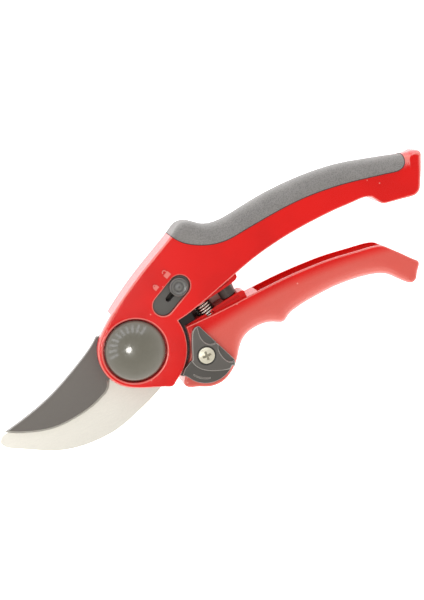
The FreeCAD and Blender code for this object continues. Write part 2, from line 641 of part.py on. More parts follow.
# ================================================================ jaws
def hook_blade():
    plate = prism(hook_edges(), HOOK_Z0, HOOK_Z1)
    plate = plate.cut(bore((0, 0), BOLT_R))
    plate = plate.cut(bore(segment_screw_at(), SEGMENT_SCREW_R))
    for at in HOOK_SCREWS:
        plate = plate.cut(bore(at, HOOK_SCREW_R))
    return plate


def segment_screw_at():
    point = polar(SEGMENT_SCREW_AT, SEGMENT_ANGLE)
    return (point.x, point.y)


def blade_edges():
    """The blade: spine, cutting edge, the eye with its relief, and the tang under the lower handle."""
    spine = curve([vec(x, y) for x, y in BLADE_SPINE])
    edge = curve([vec(x, y) for x, y in BLADE_EDGE])
    shoulder = polyline([vec(*BLADE_SPINE[0]), polar(EYE_R, EYE_SPINE)])
    step = polyline([polar(EYE_R, TRACK_START), polar(TRACK_R, TRACK_START)])
    tang = polyline([polar(TRACK_R, 0)] + [vec(x, y) for x, y in BLADE_TANG] + [polar(EYE_R, EYE_TANG)])
    heel = polyline([polar(EYE_R, EYE_HEEL), vec(*BLADE_EDGE[-1])])
    rounds = [arc_about(ORIGIN, EYE_R, EYE_SPINE, TRACK_START), arc_about(ORIGIN, TRACK_R, TRACK_START, 0),
              arc_about(ORIGIN, EYE_R, EYE_TANG, EYE_HEEL)]
    return [spine, edge] + shoulder + step + tang + heel + rounds


def bevel_cutter():
    """What the grinding of the bevel takes off the blade's upper side, past both ends of the edge."""
    points = [vec(x, y) for x, y in BLADE_EDGE]
    points = [points[0] + (points[0] - points[1]).normalize() * TIP_OVERRUN] + points
    slope = (BLADE_T - BEVEL_LAND) / BEVEL_W
    low, high = [], []
    for k, p in enumerate(points):
        a, b = points[max(0, k - 1)], points[min(len(points) - 1, k + 1)]
        inward = left_of((b - a).normalize())
        low.append(p - inward * BEVEL_OVERRUN + vec(0, 0, BLADE_Z0 + BEVEL_LAND - slope * BEVEL_OVERRUN))
        high.append(p + inward * (BEVEL_W + BEVEL_OVERRUN) + vec(0, 0, BLADE_Z1 + slope * BEVEL_OVERRUN))
    ground = Part.makeRuledSurface(curve(low), curve(high))
    return ground.extrude(vec(0, 0, 4 * BLADE_T))


def cutting_blade():
    blade = prism(blade_edges(), BLADE_Z0, BLADE_Z1)
    blade = blade.cut(bevel_cutter())
    blade = blade.cut(bore((0, 0), BUSH_R))
    blade = blade.cut(bore(LIMIT_AT, LIMIT_SCREW_R))
    for at in BLADE_SCREWS:
        blade = blade.cut(bore(at, BLADE_SCREW_R))
    return blade


# ================================================================ lower handle
def lower_stations():
    outer = LOWER_TOE + LOWER_OUTER + LOWER_TAIL
    inner = [(x, y, 0.8, 0.8) for x, y in LOWER_INNER]
    return [LOWER_CORNER] + LOWER_FRONT + outer + inner + [LOWER_CORNER]


def lower_handle():
    body = rim_body(lower_stations(), 0, LOWER_T)
    body = ribbed(body, LOWER_RIB, LOWER_GROOVE, LOWER_T)
    body = body.fuse(block([vec(x, y) for x, y in LOWER_SHELF], 0, SHELF_T))
    cutters = [widened(blade_edges(), BLADE_Z0 - SLIDE_FIT, BLADE_Z1 + SLIDE_FIT),
               hollow(LOWER_HOLLOW, LOWER_HOLLOW_BACK, LOWER_T), spring_pocket(-1), bumper_stem(BORE_FIT),
               cylinder(LIMIT_AT, LIMIT_SCREW_R + BORE_FIT, LIMIT_SCREW_Z0 - SCREW_END, LOWER_T + PAST)]
    for at in BLADE_SCREWS:
        cutters.append(blade_screw(at, BORE_FIT, SCREW_END))
        cutters.append(cylinder(at, BLADE_HEAD_R + BORE_FIT, -PAST, SCREW_SINK))
    for cutter in cutters:
        body = body.cut(cutter)
    return body


# ================================================================ fasteners
def blade_screw(at, clear=0.0, deeper=0.0):
    """Flat-head screw driven upwards from the back, or with clearances the hole for it."""
    shank, head = BLADE_SCREW_R + clear, BLADE_HEAD_R + clear
    land = SCREW_SINK + HEAD_LAND
    top = BLADE_Z1 + BLADE_SCREW_BITE + deeper
    profile = [(0, SCREW_SINK), (head, SCREW_SINK), (head, land), (shank, land + head - shank), (shank, top)]
    return turned(profile + [(0, top)], at)


def cross_drive(at, z0, z1):
    """Recess for a cross-head driver."""
    x, y = at
    bars = [block(rectangle(x - a, y - b, x + a, y + b), z0, z1)
            for a, b in ((DRIVE_R, DRIVE_SLOT), (DRIVE_SLOT, DRIVE_R))]
    return bars[0].fuse(bars[1])


def hook_screws():
    screws = []
    back = HOOK_Z0 - HOOK_HEAD_H
    for at in HOOK_SCREWS:
        shank = cylinder(at, HOOK_SCREW_R, HOOK_Z0 - WELD, HOOK_Z1 + HOOK_SCREW_BITE)
        head = cylinder(at, HOOK_HEAD_R, back, HOOK_Z0)
        screws.append(shank.fuse(head).cut(cross_drive(at, back - PAST, back + DRIVE_DEPTH)))
    return Part.Compound(screws)


def blade_screws():
    drive_top = SCREW_SINK + DRIVE_DEPTH
    return Part.Compound([blade_screw(at).cut(cross_drive(at, -PAST, drive_top)) for at in BLADE_SCREWS])


def pivot_bolt():
    """Bolt from the cap down to the plane that the shears lie on."""
    shank = cylinder((0, 0), BOLT_R, 0, RECESS_Z + WELD)
    return shank.fuse(hexagon(BOLT_HEAD_AF, RECESS_Z, RECESS_Z + BOLT_HEAD_H)).removeSplitter()


def spring_washer():
    """Cone-shaped washer between the hook and the nut."""
    low, inner = HOOK_Z0 - SPRING_WASHER_T, BOLT_R + SPRING_WASHER_GAP
    return turned([(inner, low), (SPRING_WASHER_R, low + SPRING_WASHER_CONE), (SPRING_WASHER_R, HOOK_Z0),
                   (inner, HOOK_Z0 - SPRING_WASHER_CONE)])


def pivot_nut():
    """Round nut with notches round its rim and a groove in its back."""
    top = HOOK_Z0 - SPRING_WASHER_T
    back = top - NUT_T
    bore_r = BOLT_R + BORE_FIT
    nut = ring((0, 0), bore_r, NUT_R, back, top)
    for k in range(NUT_TEETH):
        at = polar(NUT_R, SEGMENT_ANGLE + 360 * k / NUT_TEETH)
        nut = nut.cut(cylinder((at.x, at.y), NUT_NOTCH_R, 0, HOOK_Z0))
    groove_r = bore_r + NUT_WALL
    return nut.cut(ring((0, 0), groove_r, groove_r + NUT_GROOVE_W, back - PAST, back + NUT_GROOVE_DEPTH))


def locking_segment():
    """Plate whose rounded tooth stands in one notch of the nut."""
    tooth = polar(NUT_R, SEGMENT_ANGLE)
    screw = segment_screw_at()
    z0, z1 = HOOK_Z0 - SEGMENT_T, HOOK_Z0
    nose = stadium((tooth.x, tooth.y), screw, NUT_NOTCH_R - TOOTH_FIT, z0, z1)
    plate = stadium(beside_screw(SEGMENT_SPREAD), beside_screw(-SEGMENT_SPREAD), SEGMENT_END_R, z0, z1)
    room = cylinder((0, 0), NUT_R + SEGMENT_GAP, -PAST, BODY_T).cut(nose)
    return merged([plate, nose]).cut(room).cut(bore(screw, SEGMENT_SCREW_R))


def beside_screw(distance):
    """Point at a distance from the segment's screw, square to its line from the pivot."""
    point = polar(SEGMENT_SCREW_AT, SEGMENT_ANGLE) + polar(distance, SEGMENT_ANGLE + 90)
    return (point.x, point.y)


def segment_screw():
    """Slotted screw that holds the locking segment to the hook."""
    x, y = segment_screw_at()
    top = HOOK_Z0 - SEGMENT_T
    back = top - SEGMENT_HEAD_H
    head = cylinder((x, y), SEGMENT_HEAD_R, back, top)
    screw = head.fuse(cylinder((x, y), SEGMENT_SCREW_R, top - WELD, HOOK_Z1 - SCREW_END))
    slot = rectangle(x - FAR, y - SEGMENT_SLOT, x + FAR, y + SEGMENT_SLOT)
    return screw.cut(block(slot, back - PAST, back + SEGMENT_HEAD_H / 2))


def pivot_cap():
    """Domed cover standing in the head's recess over the bolt."""
    base, crown = RECESS_Z, BODY_T + CAP_RISE
    rim_z = base + CAP_SKIRT

    def shell(radius, top, bottom):
        height = top - rim_z
        quarter = [math.radians(a) for a in range(0, 91, 15)]
        points = [vec(radius * math.cos(a), 0, rim_z + height * math.sin(a)) for a in quarter]
        foot = [vec(0, 0, top), vec(0, 0, bottom), vec(radius, 0, bottom), points[0]]
        edges = [curve(points)] + polyline(foot)
        return Part.Face(Part.Wire(Part.__sortEdges__(edges))).revolve(ORIGIN, UP, 360)

    return shell(CAP_R, crown, base).cut(shell(CAP_R - CAP_WALL, crown - CAP_WALL, base - PAST))


# ================================================================ lock
def lock_direction():
    return (vec(*LOCK_FRONT) - vec(*LOCK_REAR)).normalize()


def along_lock(distance):
    """Point on the slider's line, ahead of the window's rear centre."""
    point = vec(*LOCK_REAR) + lock_direction() * distance
    return (point.x, point.y)


def tongue_tip():
    """Where the tongue ends at rest, so that pushing it home leaves its gap to the eye."""
    rear, direction = vec(*LOCK_REAR), lock_direction()
    offset = abs(rear.x * direction.y - rear.y * direction.x)
    near_side = max(0.0, offset - TONGUE_W / 2)
    to_eye = math.sqrt((TRACK_R + TONGUE_GAP) ** 2 - near_side ** 2)
    return -rear.dot(direction) - to_eye - LOCK_TRAVEL


def tongue_block(start, end, width, z0, z1):
    """Straight bar along the slider's line."""
    a, b = vec(*along_lock(start)), vec(*along_lock(end))
    side = left_of(lock_direction()) * (width / 2)
    return block([a + side, b + side, b - side, a - side], z0, z1)


def lock_plate():
    """Fixed plate that fills the window, with the slot that the button's stem runs in."""
    top = BODY_T - FACE_SKIN
    flange = stadium(LOCK_FRONT, LOCK_REAR, PLATE_R, BLADE_Z1 + PLATE_FOOT, top)
    raised = stadium(LOCK_FRONT, LOCK_REAR, WINDOW_R - SEAT_FIT, top - WELD, PLATE_Z1)
    home = BUTTON_INSET + LOCK_TRAVEL
    slot = stadium(along_lock(BUTTON_INSET), along_lock(home), STEM_R + SEAT_FIT, 0, BODY_T)
    return flange.fuse(raised).removeSplitter().cut(slot)


def lock_button():
    """Round button dished on top with a pip in the dish, on a stem that reaches the tongue."""
    centre = along_lock(BUTTON_INSET)
    top = BODY_T + BUTTON_RISE
    base = PLATE_Z1 + SLIDE_FIT
    dish = top - DISH_DEPTH
    profile = [(0, base), (BUTTON_R, base), (BUTTON_R, top - BUTTON_EDGE), (BUTTON_R - BUTTON_EDGE, top),
               (BUTTON_R - BUTTON_RING, top), (DISH_R, dish)]
    profile += [(PIP_R * share, dish + PIP_RISE * (1 - share ** 2)) for share in (1, 0.7, 0.35, 0)]
    stem = cylinder(centre, STEM_R, TONGUE_Z1, base + WELD)
    hole = cylinder(centre, TONGUE_SCREW_R + BORE_FIT, 0, base + 2 * WELD)
    return turned(profile, centre).fuse(stem).removeSplitter().cut(hole)


def lock_tongue():
    """Bar that slides with the button, with a sunk hole for the screw that joins them."""
    centre = along_lock(BUTTON_INSET)
    plate = tongue_block(-TONGUE_TAIL, tongue_tip(), TONGUE_W, TONGUE_Z0, TONGUE_Z1)
    plate = plate.cut(bore(centre, TONGUE_SCREW_R))
    return plate.cut(cylinder(centre, TONGUE_HEAD_R + BORE_FIT, 0, TONGUE_Z0 + TONGUE_HEAD_H))


def tongue_screw():
    at = along_lock(BUTTON_INSET)
    head = cylinder(at, TONGUE_HEAD_R, TONGUE_Z0, TONGUE_Z0 + TONGUE_HEAD_H)
    return head.fuse(cylinder(at, TONGUE_SCREW_R, TONGUE_Z0, PLATE_Z1)).removeSplitter()


def lock_leaf():
    """Flat spring bowed from the pocket's wall to the side of the tongue."""
    a, b = vec(*LOCK_FRONT), vec(*LOCK_REAR)
    along = (b - a).normalize()
    side = left_of(along)
    wall = PLATE_R + SEAT_FIT - LEAF_T - BORE_FIT
    base = a + along * (((b - a).Length - LEAF_L) / 2) + side * wall
    tip = base + along * LEAF_L
    middle = (base + tip) * 0.5 - side * (wall - TONGUE_W / 2 - SEAT_FIT)
    back = side * LEAF_T
    ends = polyline([base, base + back]) + polyline([tip, tip + back])
    bow = [arc(base, middle, tip), arc(base + back, middle + back, tip + back)]
    return prism(bow + ends, TONGUE_Z0 + LEAF_SET, TONGUE_Z1 - LEAF_SET)


# ================================================================ limiter
def lever_side(along, depth):
    """Point at a distance along the lever's long side and a depth into the lever."""
    top, bottom = vec(*LEVER_RIGHT[-1]), vec(*LEVER_RIGHT[-2])
    direction = (bottom - top).normalize()
    return top + direction * along + vec(direction.y, -direction.x) * depth


def lever_outline():
    """The lever from its apex down its left side, round its fan and up its long side."""
    centre = vec(*LIMIT_AT)
    fan_start, fan_end = [centre + polar(LEVER_FAN_R, angle) for angle in LEVER_FAN_SPAN]
    left = curve([vec(x, y) for x, y in LEVER_LEFT])
    fan = arc_about(centre, LEVER_FAN_R, *LEVER_FAN_SPAN)
    apex = arc(vec(*LEVER_RIGHT[-1]), vec(*LEVER_APEX), vec(*LEVER_LEFT[0]))
    tooth = polyline([vec(x, y) for x, y in LEVER_TOOTH] + [fan_start])
    return [left, fan, apex] + tooth + polyline([fan_end] + [vec(x, y) for x, y in LEVER_RIGHT])


def finger_scoop(points, top):
    """Hollow for a finger, with a wall round its inner side and a floor that falls to the long side."""
    outline = [lever_side(a, d) for a, d in points]
    outside = [lever_side(points[k][0], -SCOOP_OVERRUN) for k in (-1, 0)] + [outline[0]]
    scoop = prism([curve(outline)] + polyline([outline[-1]] + outside), top - LEVER_T, top + PAST)
    slab = Part.makeBox(FAR, FAR, FAR, vec(-FAR / 2, -FAR / 2, 0))
    slab.rotate(ORIGIN, lever_side(0, 0) - lever_side(1, 0), SCOOP_TILT)
    middle = lever_side((points[0][0] + points[-1][0]) / 2, 0)
    slab.translate(vec(middle.x, middle.y, top - SCOOP_DEPTH))
    return scoop.common(slab)


def limiter_lever():
    z0, z1 = LEVER_Z0, LEVER_Z0 + LEVER_T
    lever = prism(lever_outline(), z0, z1)
    rim = [e for e in lever.Edges if min(v.Z for v in e.Vertexes) > z1 - SLIDE_FIT]
    lever = lever.makeChamfer(LEVER_CHAMFER, rim)
    contour = [vec(x, y) for x, y in LEVER_CONTOUR]
    outside = [contour[-1]] + [vec(x, y) for x, y in PAST_LEVER] + [contour[0]]
    lever = lever.cut(prism([curve(contour)] + polyline(outside), z1 - LEVER_SINK, z1 + PAST))
    mark = ring(LIMIT_AT, LEVER_MARK_R, LEVER_MARK_R + LEVER_MARK_W, z1 - 2 * LEVER_SINK, z1 + PAST)
    centre, (first, last) = vec(*LIMIT_AT), LEVER_MARK_SPAN
    sector = [centre] + [centre + polar(2 * LEVER_FAN_R, a) for a in (first, (first + last) / 2, last)]
    lever = lever.cut(mark.common(block(sector, z0, z1 + PAST)))
    lever = lever.cut(cylinder(LIMIT_AT, LIMIT_SCREW_R + BORE_FIT, z0 - PAST, z1 + PAST))
    lever = lever.cut(cylinder(LIMIT_AT, LIMIT_HEAD_R + HEAD_ROOM, z0 + LIMIT_SEAT, z1 + PAST))
    for points in SCOOPS:
        lever = lever.cut(finger_scoop(points, z1))
    return lever


def limiter_screw():
    """Pan-head screw that the lever turns on."""
    z0 = LEVER_Z0 + LIMIT_SEAT + SLIDE_FIT
    top = z0 + LIMIT_HEAD_H
    shank = cylinder(LIMIT_AT, LIMIT_SCREW_R, LIMIT_SCREW_Z0, z0 + WELD)
    quarter = [math.radians(a) for a in range(0, 91, 30)]
    crown = [(LIMIT_HEAD_R * math.cos(a), top - PAN_CROWN * (1 - math.sin(a))) for a in quarter]
    head = turned([(0, z0), (LIMIT_HEAD_R, z0)] + crown, LIMIT_AT)
    return shank.fuse(head).removeSplitter().cut(cross_drive(LIMIT_AT, top - DRIVE_DEPTH, top + PAST))


def limiter_washer():
    return ring(LIMIT_AT, LIMIT_SCREW_R + BORE_FIT, LIMIT_WASHER_R, LOWER_T, LOWER_T + LIMIT_WASHER_T)


# ================================================================ spring and bumper
def return_spring():
    coil_len = SPRING_LEN - 2 * (WIRE_R + SPRING_END_GAP)
    helix = Part.makeHelix(coil_len / SPRING_TURNS, coil_len, SPRING_R)
    start = helix.Vertexes[0].Point
    section = Part.Wire([Part.makeCircle(WIRE_R, start, vec(0, 1, 0))])
    coil = Part.Wire(helix.Edges).makePipeShell([section], True, True)
    coil.translate(vec(0, 0, -coil_len / 2))
    return spring_frame(coil)


def bumper_stem(clear=0.0):
    """The bumper's stem, or with a clearance the hole for it; both reach past the rib's top."""
    length = BUMPER_SEAT + BUMPER_LAP + BUMPER_STEM_L + clear
    stem = Part.makeCylinder(BUMPER_STEM_R + clear, length, vec(0, 0, BUMPER_SEAT + BUMPER_LAP), UP * -1)
    return spring_frame(stem, BUMPER_AT)


def bumper():
    body = spring_frame(Part.makeCylinder(BUMPER_R, BUMPER_L, vec(0, 0, BUMPER_SEAT), UP), BUMPER_AT)
    return body.fuse(bumper_stem()).removeSplitter()


# ================================================================ build
def build():
    upper, grip = upper_handle_and_grip()
    on_bolt = BOLT_R + BORE_FIT
    return {
        "upper_handle": upper,
        "soft_grip": grip,
        "hook_blade": hook_blade(),
        "hook_screws": hook_screws(),
        "pivot_bolt": pivot_bolt(),
        "friction_washer": ring((0, 0), on_bolt, WASHER_R, WASHER_Z0, WASHER_Z0 + WASHER_T),
        "spring_washer": spring_washer(),
        "pivot_nut": pivot_nut(),
        "locking_segment": locking_segment(),
        "segment_screw": segment_screw(),
        "pivot_cap": pivot_cap(),
        "lock_leaf_spring": lock_leaf(),
        "lock_plate": lock_plate(),
        "lock_button": lock_button(),
        "lock_tongue": lock_tongue(),
        "tongue_screw": tongue_screw(),
        "return_spring": return_spring(),
        "lower_handle": lower_handle(),
        "cutting_blade": cutting_blade(),
        "pivot_bush": ring((0, 0), on_bolt, BUSH_R, BLADE_Z0, BLADE_Z1),
        "blade_screws": blade_screws(),
        "bumper": bumper(),
        "limiter_washer": limiter_washer(),
        "limiter_lever": limiter_lever(),
        "limiter_screw": limiter_screw(),
    }


os.makedirs("parts", exist_ok=True)
for name, shape in build().items():
    shape.exportStep("parts/" + name + ".step")
    print(name, "solids", len(shape.Solids), "volume %.1f" % shape.Volume, "valid", shape.isValid())
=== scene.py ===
"""Looks of a pair of bypass pruning shears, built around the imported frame.

Everything is in metres. The pivot axis stands at the origin, +X runs to the handles' ends,
+Y to the upper handle, +Z out of the face, and the shears lie on the floor at Z = 0.
"""
import logging
import math
from dataclasses import dataclass, replace
from enum import Enum
from typing import Any, Optional

import bmesh
import bpy
from mathutils import Matrix, Vector


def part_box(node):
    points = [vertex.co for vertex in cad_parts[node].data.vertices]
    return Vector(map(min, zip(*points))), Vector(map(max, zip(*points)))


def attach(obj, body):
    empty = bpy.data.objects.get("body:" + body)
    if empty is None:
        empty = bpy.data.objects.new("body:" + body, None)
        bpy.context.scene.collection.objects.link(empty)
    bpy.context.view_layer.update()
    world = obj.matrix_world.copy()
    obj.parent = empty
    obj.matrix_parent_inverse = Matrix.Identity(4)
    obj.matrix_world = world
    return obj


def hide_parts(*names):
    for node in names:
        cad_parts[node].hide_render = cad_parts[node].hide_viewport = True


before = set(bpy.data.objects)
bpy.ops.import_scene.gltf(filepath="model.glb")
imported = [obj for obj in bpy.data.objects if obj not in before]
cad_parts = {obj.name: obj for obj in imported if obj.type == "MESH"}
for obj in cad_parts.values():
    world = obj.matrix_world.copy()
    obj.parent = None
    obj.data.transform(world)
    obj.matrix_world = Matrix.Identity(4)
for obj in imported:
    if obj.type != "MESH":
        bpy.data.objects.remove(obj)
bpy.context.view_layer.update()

LOG = logging.getLogger("shears")
MM = 0.001
MERGE = 2e-6  # corners of a CAD mesh this near each other are one
Colour = tuple[float, float, float]
Point = tuple[float, float, float]
Band = tuple[float, float]  # the value where a share is 0, and the one where it is 1


# ---------------------------------------------------------------------------- shader helpers
class Sock:
    """One output of a shader tree, on which maths is written as Python expressions."""

    def __init__(self, tree: "Tree", socket: bpy.types.NodeSocket) -> None:
        """Keep the socket and the tree that new Math nodes go into."""
        self.tree = tree
        self.socket = socket

    def _math(self, operation: str, *values: Any) -> "Sock":
        """Add a Math node.

        Args:
            operation: the node's operation.
            values: numbers or Socks, in the node's own order.

        Returns:
            The node's result.
        """
        node = self.tree.node("ShaderNodeMath", {"operation": operation}, dict(enumerate(values)))
        return Sock(self.tree, node.outputs[0])

    def __add__(self, other: Any) -> "Sock":
        """Sum."""
        return self._math("ADD", self, other)

    def __radd__(self, other: Any) -> "Sock":
        """Sum with a number on the left."""
        return self._math("ADD", other, self)

    def __sub__(self, other: Any) -> "Sock":
        """Difference."""
        return self._math("SUBTRACT", self, other)

    def __rsub__(self, other: Any) -> "Sock":
        """Difference from a number."""
        return self._math("SUBTRACT", other, self)

    def __mul__(self, other: Any) -> "Sock":
        """Product."""
        return self._math("MULTIPLY", self, other)

    def __rmul__(self, other: Any) -> "Sock":
        """Product with a number on the left."""
        return self._math("MULTIPLY", other, self)

    def __pow__(self, other: Any) -> "Sock":
        """Power."""
        return self._math("POWER", self, other)

    def sqrt(self) -> "Sock":
        """Square root."""
        return self._math("SQRT", self)

    def above(self, low: float, high: float) -> "Sock":
        """Rise smoothly from 0 at low to 1 at high.

        Args:
            low: value where the result leaves 0.
            high: value where it reaches 1; below low, the result falls instead.

        Returns:
            The share, from 0 to 1.
        """
        low, high, flip = (low, high, False) if low < high else (high, low, True)
        node = self.tree.node("ShaderNodeMapRange", {"interpolation_type": "SMOOTHSTEP"},
                              {"Value": self, "From Min": low, "From Max": high})
        result = Sock(self.tree, node.outputs[0])
        return 1.0 - result if flip else result


class Tree:
    """A material's node tree, started with its principled shader."""

    def __init__(self, name: str) -> None:
        """Make the material and find its shader.

        Args:
            name: the material's name.
        """
        self.material = bpy.data.materials.new(name)
        self.material.use_nodes = True
        self.shader = self.material.node_tree.nodes["Principled BSDF"]

    def node(self, kind: str, settings: Optional[dict[str, Any]] = None,
             inputs: Optional[dict[Any, Any]] = None) -> bpy.types.Node:
        """Add a node.

        Args:
            kind: the node's type.
            settings: its properties, set before its sockets.
            inputs: numbers, colours or Socks for its sockets, by name or number.

        Returns:
            The node.
        """
        made = self.material.node_tree.nodes.new(kind)
        for key, value in (settings or {}).items():
            setattr(made, key, value)
        for key, value in (inputs or {}).items():
            self.feed(made.inputs[key], value)
        return made

    def feed(self, socket: bpy.types.NodeSocket, value: Any) -> None:
        """Link a Sock to a socket, or set a plain value on it.

        Args:
            socket: the input.
            value: a Sock, a number, a colour or a vector.
        """
        if isinstance(value, Sock):
            self.material.node_tree.links.new(value.socket, socket)
        elif isinstance(value, tuple) and len(value) == 3 and socket.type == "RGBA":
            socket.default_value = (*value, 1.0)
        else:
            socket.default_value = value

    def set(self, **values: Any) -> None:
        """Set or feed the shader's own sockets, whose names have _ for a space."""
        for key, value in values.items():
            self.feed(self.shader.inputs[key.replace("_", " ")], value)

    def place(self, scale: Point = (1.0, 1.0, 1.0), turn: float = 0.0) -> Sock:
        """Object coordinates in millimetres, scaled and turned about Z.

        Args:
            scale: scale along each axis.
            turn: turn about Z, in degrees.

        Returns:
            The point.
        """
        source = Sock(self, self.node("ShaderNodeTexCoord").outputs["Object"])
        mapping = self.node("ShaderNodeMapping", {"vector_type": "POINT"}, {
            "Vector": source, "Rotation": (0.0, 0.0, math.radians(turn)),
            "Scale": tuple(s / MM for s in scale)})
        return Sock(self, mapping.outputs[0])

    def axes(self, point: Sock) -> tuple[Sock, Sock, Sock]:
        """Split a point into its three parts."""
        parts = self.node("ShaderNodeSeparateXYZ", None, {0: point})
        return tuple(Sock(self, parts.outputs[k]) for k in range(3))

    def noise(self, point: Sock, scale: float, detail: float = 3.0, roughness: float = 0.5) -> Sock:
        """Cloudy values from 0 to 1.

        Args:
            point: where to read them.
            scale: features to a unit of the point.
            detail: octaves.
            roughness: strength of the finer octaves.

        Returns:
            The value.
        """
        made = self.node("ShaderNodeTexNoise", None, {
            "Vector": point, "Scale": scale, "Detail": detail, "Roughness": roughness})
        return Sock(self, made.outputs[0])

    def cells(self, point: Sock, scale: float) -> Sock:
        """Distance to the nearest of scattered points."""
        made = self.node("ShaderNodeTexVoronoi", {"feature": "F1"}, {"Vector": point, "Scale": scale})
        return Sock(self, made.outputs["Distance"])

    def facing(self) -> Sock:
        """How far a face looks up: 1 on a level face, 0 on a wall."""
        normal = Sock(self, self.node("ShaderNodeNewGeometry").outputs["True Normal"])
        return self.axes(normal)[2]

    def blend(self, factor: Any, first: Any, second: Any) -> Sock:
        """Mix two colours.

        Args:
            factor: 0 for the first, 1 for the second.
            first: a colour or a Sock.
            second: a colour or a Sock.

        Returns:
            The colour.
        """
        made = self.node("ShaderNodeMix", {"data_type": "RGBA"}, {0: factor, 6: first, 7: second})
        return Sock(self, made.outputs[2])

    def bump(self, height: Sock, depth: float, strength: float) -> Sock:
        """Normals of a surface raised by a height.

        Args:
            height: the height, 0 to 1.
            depth: what 1 stands for, in metres.
            strength: share of the effect.

        Returns:
            The normal.
        """
        inputs = {"Height": height, "Distance": depth, "Strength": strength}
        return Sock(self, self.node("ShaderNodeBump", None, inputs).outputs[0])


# ---------------------------------------------------------------------------- mesh helpers
SHARP = 30.0                  # degrees above which an edge stays sharp
FLAT = 0.5                    # degrees below which two faces of a bevelled piece become one
BEVEL_STEPS = 2
UNCLAMPED = "limiter_lever"   # its finest edges would hold the whole bevel back
FACE_WEIGHT = 100


def place_mesh(mesh: bmesh.types.BMesh, name: str) -> bpy.types.Object:
    """Turn a bmesh into an object of the scene.

    Args:
        mesh: the bmesh, which is freed.
        name: the object's name.

    Returns:
        The object.
    """
    data = bpy.data.meshes.new(name)
    mesh.to_mesh(data)
    mesh.free()
    made = bpy.data.objects.new(name, data)
    bpy.context.scene.collection.objects.link(made)
    return made


def merged(node: str) -> bmesh.types.BMesh:
    """Copy a CAD node's mesh, with the triangles joined at their corners."""
    mesh = bmesh.new()
    mesh.from_mesh(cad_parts[node].data)
    bmesh.ops.remove_doubles(mesh, verts=mesh.verts, dist=MERGE)
    return mesh


def dress(piece: bpy.types.Object, material: bpy.types.Material, body: str) -> bpy.types.Object:
    """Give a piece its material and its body.

    Args:
        piece: the piece.
        material: its finish.
        body: the body it rides on.

    Returns:
        The piece.
    """
    piece.data.materials.clear()
    piece.data.materials.append(material)
    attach(piece, body)
    LOG.info("%s: %d faces on %s", piece.name, len(piece.data.polygons), body)
    return piece


def skin(node: str, name: str, bevel: float = 0.0) -> bpy.types.Object:
    """Copy a CAD node with its triangles merged, so that its curved faces shade smoothly.

    Args:
        node: the CAD node, which the copy stands for.
        name: the piece's name.
        bevel: width that the sharp edges are rounded by, in metres.

    Returns:
        The piece.
    """
    mesh = merged(node)
    limit = math.radians(SHARP)
    if bevel > 0.0:
        bmesh.ops.dissolve_limit(mesh, angle_limit=math.radians(FLAT), verts=mesh.verts, edges=mesh.edges)
    for face in mesh.faces:
        face.smooth = True
    for edge in mesh.edges:
        edge.smooth = len(edge.link_faces) == 2 and edge.calc_face_angle(0.0) < limit
    piece = place_mesh(mesh, name)
    if bevel > 0.0:
        rounding = piece.modifiers.new("rounding", "BEVEL")
        rounding.limit_method = "ANGLE"
        rounding.angle_limit = limit
        rounding.width = bevel
        rounding.segments = BEVEL_STEPS
        rounding.use_clamp_overlap = node != UNCLAMPED
    weighted = piece.modifiers.new("weighted", "WEIGHTED_NORMAL")
    weighted.keep_sharp = True
    weighted.weight = FACE_WEIGHT
    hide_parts(node)
    return piece


# ---------------------------------------------------------------------------- finishes
NOWHERE = -100.0   # a height in millimetres that no piece reaches down to
SHADE_FADE = 0.25   # millimetres over which the painted shade in a hollow sets in


def shaded(colour: Colour, share: float) -> Colour:
    """A colour made darker or lighter by a share."""
    return tuple(part * share for part in colour)


@dataclass(frozen=True)
class Finish:
    """What every finish has: a name, a colour and a roughness."""

    name: str
    colour: Colour
    roughness: float

    def build(self) -> bpy.types.Material:
        """Make the material.

        Returns:
            The material.
        """
        tree = Tree(self.name)
        self.shade(tree)
        return tree.material

    def shade(self, tree: Tree) -> None:
        """Set the shader of a plain finish; each real finish adds its own detail."""
        tree.set(Base_Color=self.colour, Roughness=self.roughness)


